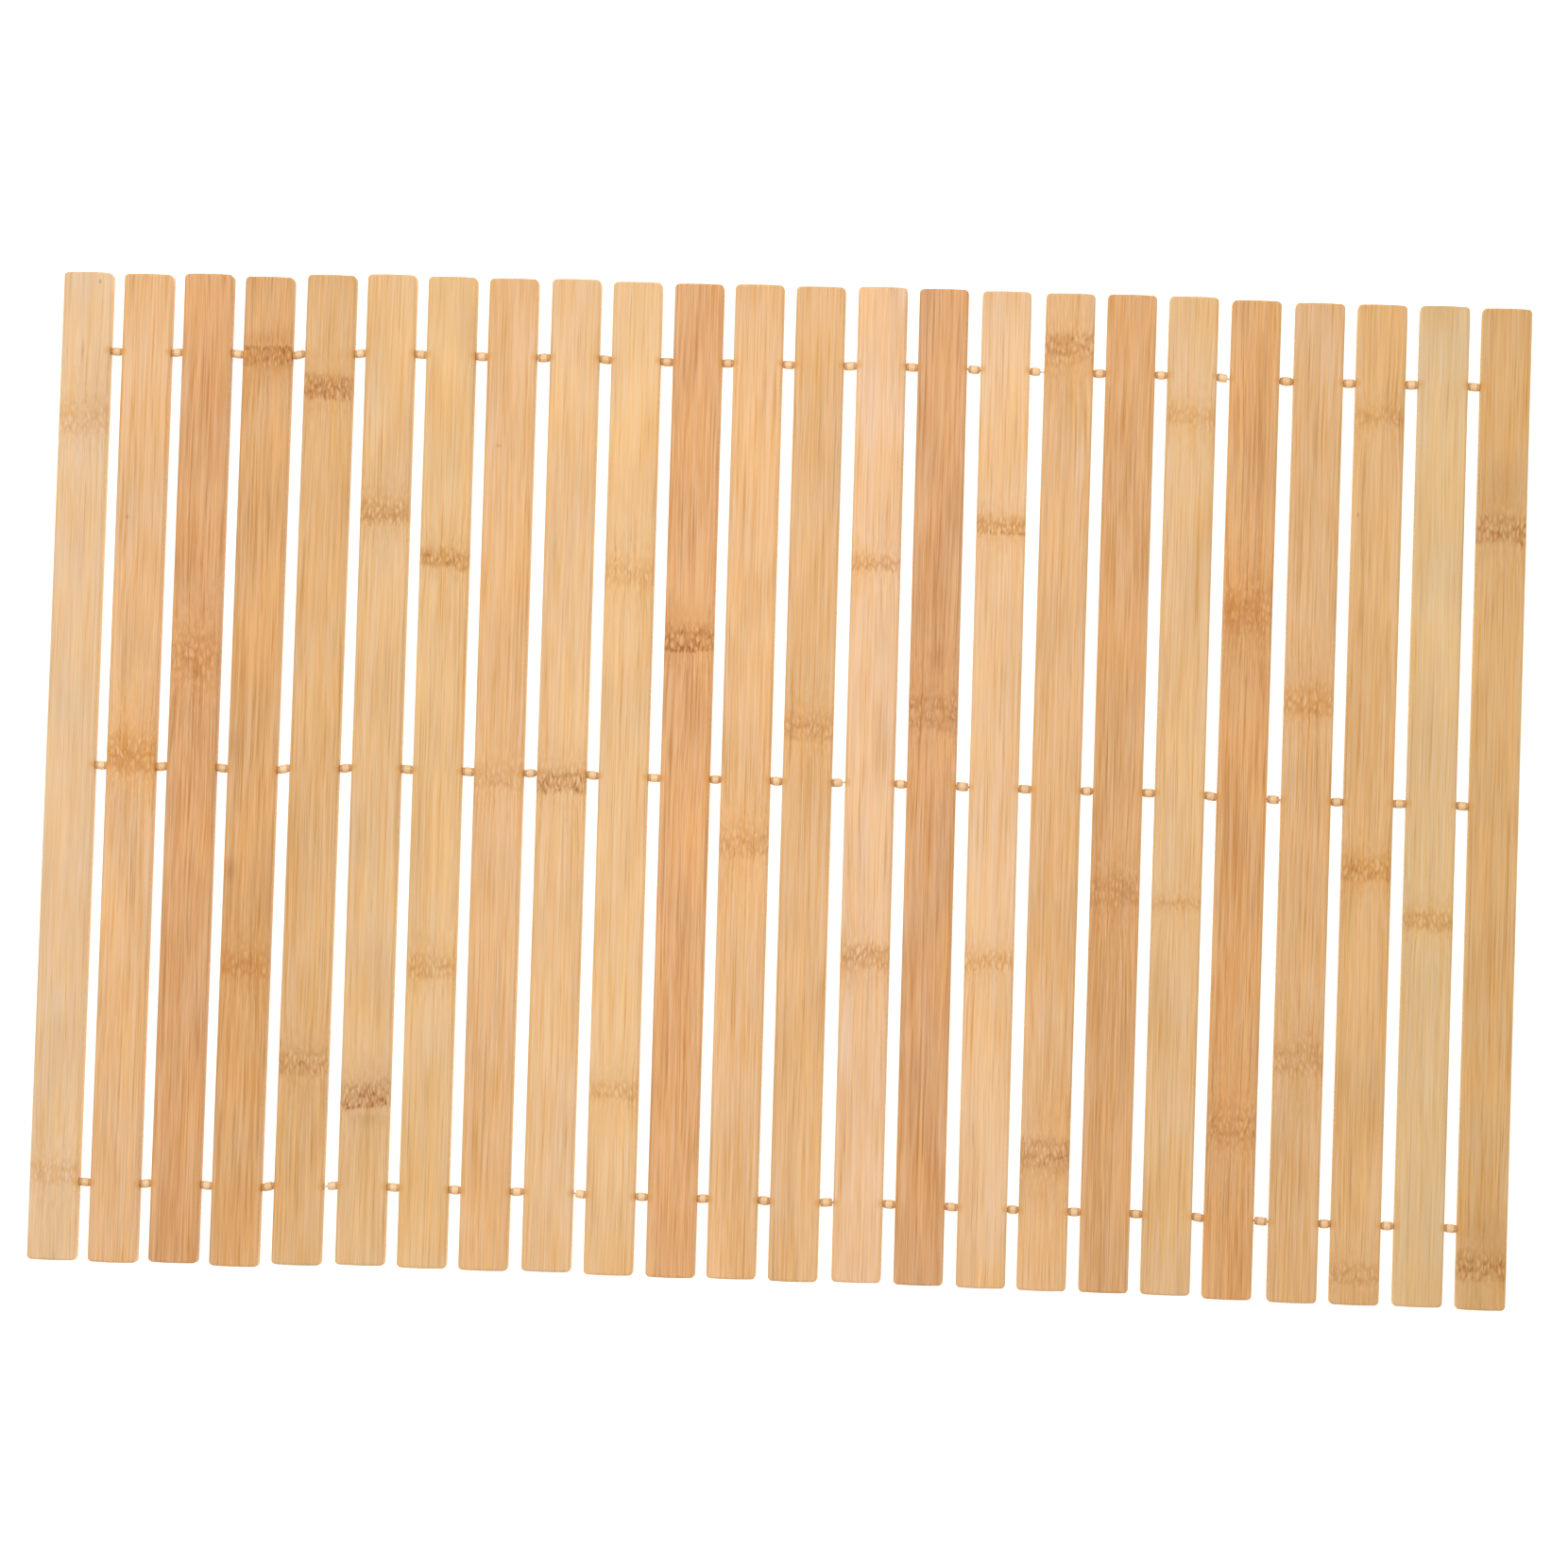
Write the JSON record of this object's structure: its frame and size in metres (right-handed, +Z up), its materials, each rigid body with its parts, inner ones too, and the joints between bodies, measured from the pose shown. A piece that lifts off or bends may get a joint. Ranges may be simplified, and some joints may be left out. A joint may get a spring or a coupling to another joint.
{
  "type": "bamboo mat",
  "caption": "Flat slatted bamboo mat: bamboo bars strung side by side on hidden cords, held apart by small wooden beads, for standing on or laying on a floor.",
  "frame": {"origin": "middle of the underside, on the floor that the mat lies on", "axes": "+X across the slats, along the mat's long side; +Y along the slats; +Z up, out of the top face"},
  "size_m": [0.5928, 0.4024, 0.008],
  "materials": {
    "bamboo_straw": "smooth sanded bamboo, satin clear finish",
    "bamboo_cream": "smooth sanded bamboo, satin clear finish",
    "bamboo_honey": "smooth sanded bamboo, satin clear finish",
    "bamboo_amber": "smooth sanded bamboo, satin clear finish",
    "bamboo_toast": "smooth sanded bamboo, satin clear finish",
    "bead_wood": "plain turned wood, matt",
    "cord": "white braided elastic cord, matt"
  },
  "bodies": {
    "root": {"slat_01": "bamboo_straw", "slat_02": "bamboo_honey", "slat_03": "bamboo_toast", "slat_04": "bamboo_amber", "slat_05": "bamboo_honey", "slat_06": "bamboo_cream", "slat_07": "bamboo_cream", "slat_08": "bamboo_honey", "slat_09": "bamboo_cream", "slat_10": "bamboo_cream", "slat_11": "bamboo_toast", "slat_12": "bamboo_honey", "slat_13": "bamboo_honey", "slat_14": "bamboo_cream", "slat_15": "bamboo_toast", "slat_16": "bamboo_cream", "slat_17": "bamboo_honey", "slat_18": "bamboo_amber", "slat_19": "bamboo_cream", "slat_20": "bamboo_toast", "slat_21": "bamboo_honey", "slat_22": "bamboo_honey", "slat_23": "bamboo_straw", "slat_24": "bamboo_honey", "strung_row_top": "bead_wood", "strung_row_middle": "bead_wood", "strung_row_bottom": "bead_wood"}
  },
  "joints": []
}
